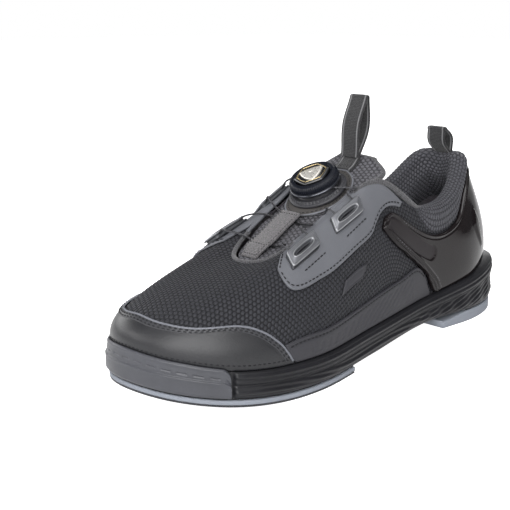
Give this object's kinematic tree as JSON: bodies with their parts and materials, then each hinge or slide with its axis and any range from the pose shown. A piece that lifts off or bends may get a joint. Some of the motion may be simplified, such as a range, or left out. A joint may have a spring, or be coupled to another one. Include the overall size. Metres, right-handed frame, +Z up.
{
  "type": "bowling shoe",
  "caption": "Left bowling shoe with a padded knit upper, leather toe cap, dial and steel lace closure, pull loops, and a slide sole and heel pad that come off.",
  "frame": {"origin": "under the middle of the shoe, on the floor", "axes": "+X towards the toe, +Y to the wearer's outer (lateral) side of this left shoe, +Z up"},
  "size_m": [0.3028, 0.1082, 0.1499],
  "materials": {
    "slide_microfibre": "matte napped microfibre",
    "grey_foam": "matte blue-grey foam rubber",
    "hook_fabric": "hook-and-loop backing",
    "midsole_rubber": "satin moulded rubber",
    "guard_rubber": "matte rubber bumper",
    "shank_steel": "brushed",
    "board_fibre": "pressed fibre board",
    "insole_foam": "fabric-covered foam",
    "knit_mesh": "raised honeycomb knit",
    "toe_leather": "semi-gloss grained leather",
    "stiffener_fibre": "stiff impregnated fibre",
    "lining_fabric": "plain lining",
    "padded_knit": "padded honeycomb knit",
    "gloss_shell": "high gloss moulded",
    "smooth_overlay": "matte coated microfibre",
    "knit_binding": "ribbed knit binding",
    "patch_leather": "stitched leather",
    "dial_plastic": "moulded, ribbed grip",
    "steel_lace": "dark coated steel cable",
    "cap_metal": "bright bevelled cap",
    "guide_plastic": "satin gunmetal",
    "webbing": "melange woven webbing"
  },
  "bodies": {
    "upper": {"midsole": "midsole_rubber", "shank": "shank_steel", "toe_guard": "guard_rubber", "lasting_board": "board_fibre", "insole": "insole_foam", "mesh_vamp": "knit_mesh", "mesh_lateral_quarter": "knit_mesh", "mesh_medial_quarter": "knit_mesh", "mesh_back_quarter": "knit_mesh", "toe_cap": "toe_leather", "toe_puff": "stiffener_fibre", "heel_stiffener": "stiffener_fibre", "vamp_lining": "lining_fabric", "lateral_collar_pad": "padded_knit", "medial_collar_pad": "padded_knit", "heel_counter": "gloss_shell", "lateral_mudguard": "smooth_overlay", "lateral_eyestay": "smooth_overlay", "medial_mudguard": "smooth_overlay", "medial_eyestay": "smooth_overlay", "side_badge": "smooth_overlay", "collar_binding": "knit_binding", "lateral_gusset": "lining_fabric", "medial_gusset": "lining_fabric", "lateral_lace_top": "steel_lace", "lateral_lace_bottom": "steel_lace", "lateral_upper_guide": "guide_plastic", "lateral_lower_guide": "guide_plastic", "medial_lace_top": "steel_lace", "medial_lace_bottom": "steel_lace", "medial_upper_guide": "guide_plastic", "medial_lower_guide": "guide_plastic"},
    "tongue": {"tongue": "padded_knit", "dial_patch": "patch_leather", "tongue_strap": "webbing", "dial_base": "dial_plastic", "dial_axle_screw": "shank_steel", "dial_pawl_ring": "shank_steel"},
    "spool": {"dial_spool": "dial_plastic", "lace_coil": "steel_lace"},
    "knob": {"dial_knob": "dial_plastic", "dial_cap": "cap_metal"},
    "tongue_tab": {"tongue_pull_tab": "webbing"},
    "heel_tab": {"heel_pull_tab": "webbing"},
    "forefoot_pad": {"forefoot_slide_pad": "slide_microfibre", "forefoot_sole_pad": "grey_foam", "forefoot_hook_layer": "hook_fabric"},
    "heel_block": {"heel_pad": "grey_foam", "heel_hook_layer": "hook_fabric"}
  },
  "joints": [
    {"name": "tongue_hinge", "type": "hinge", "parent": "upper", "child": "tongue", "pos_m": [0.0681, 0, 0.062], "axis": [0, 1, 0], "range_deg": [0, 25], "deforming": ["lateral_lace_top", "lateral_lace_bottom", "medial_lace_top", "medial_lace_bottom", "lateral_gusset", "medial_gusset"]},
    {"name": "dial_turn", "type": "hinge", "parent": "tongue", "child": "spool", "pos_m": [0.00919, -0.00073, 0.09696], "axis": [0.4809, 0, 0.8768], "continuous": true},
    {"name": "knob_pull", "type": "slide", "parent": "spool", "child": "knob", "axis": [0.4809, 0, 0.8768], "range_m": [0, 0.0025]},
    {"name": "tongue_tab_fold", "type": "hinge", "parent": "tongue", "child": "tongue_tab", "pos_m": [-0.01903, -0.00073, 0.1136], "axis": [0, 1, 0], "range_deg": [-25, 30], "stiffness_Nm_per_rad": 0.01},
    {"name": "heel_tab_fold", "type": "hinge", "parent": "upper", "child": "heel_tab", "pos_m": [-0.1148, -0.00073, 0.1074], "axis": [0, 1, 0], "range_deg": [-60, 35], "stiffness_Nm_per_rad": 0.01},
    {"name": "forefoot_pad_release", "type": "slide", "parent": "upper", "child": "forefoot_pad", "axis": [0, 0, -1], "range_m": [0, 0.03]},
    {"name": "heel_pad_release", "type": "slide", "parent": "upper", "child": "heel_block", "axis": [0, 0, -1], "range_m": [0, 0.03]}
  ]
}
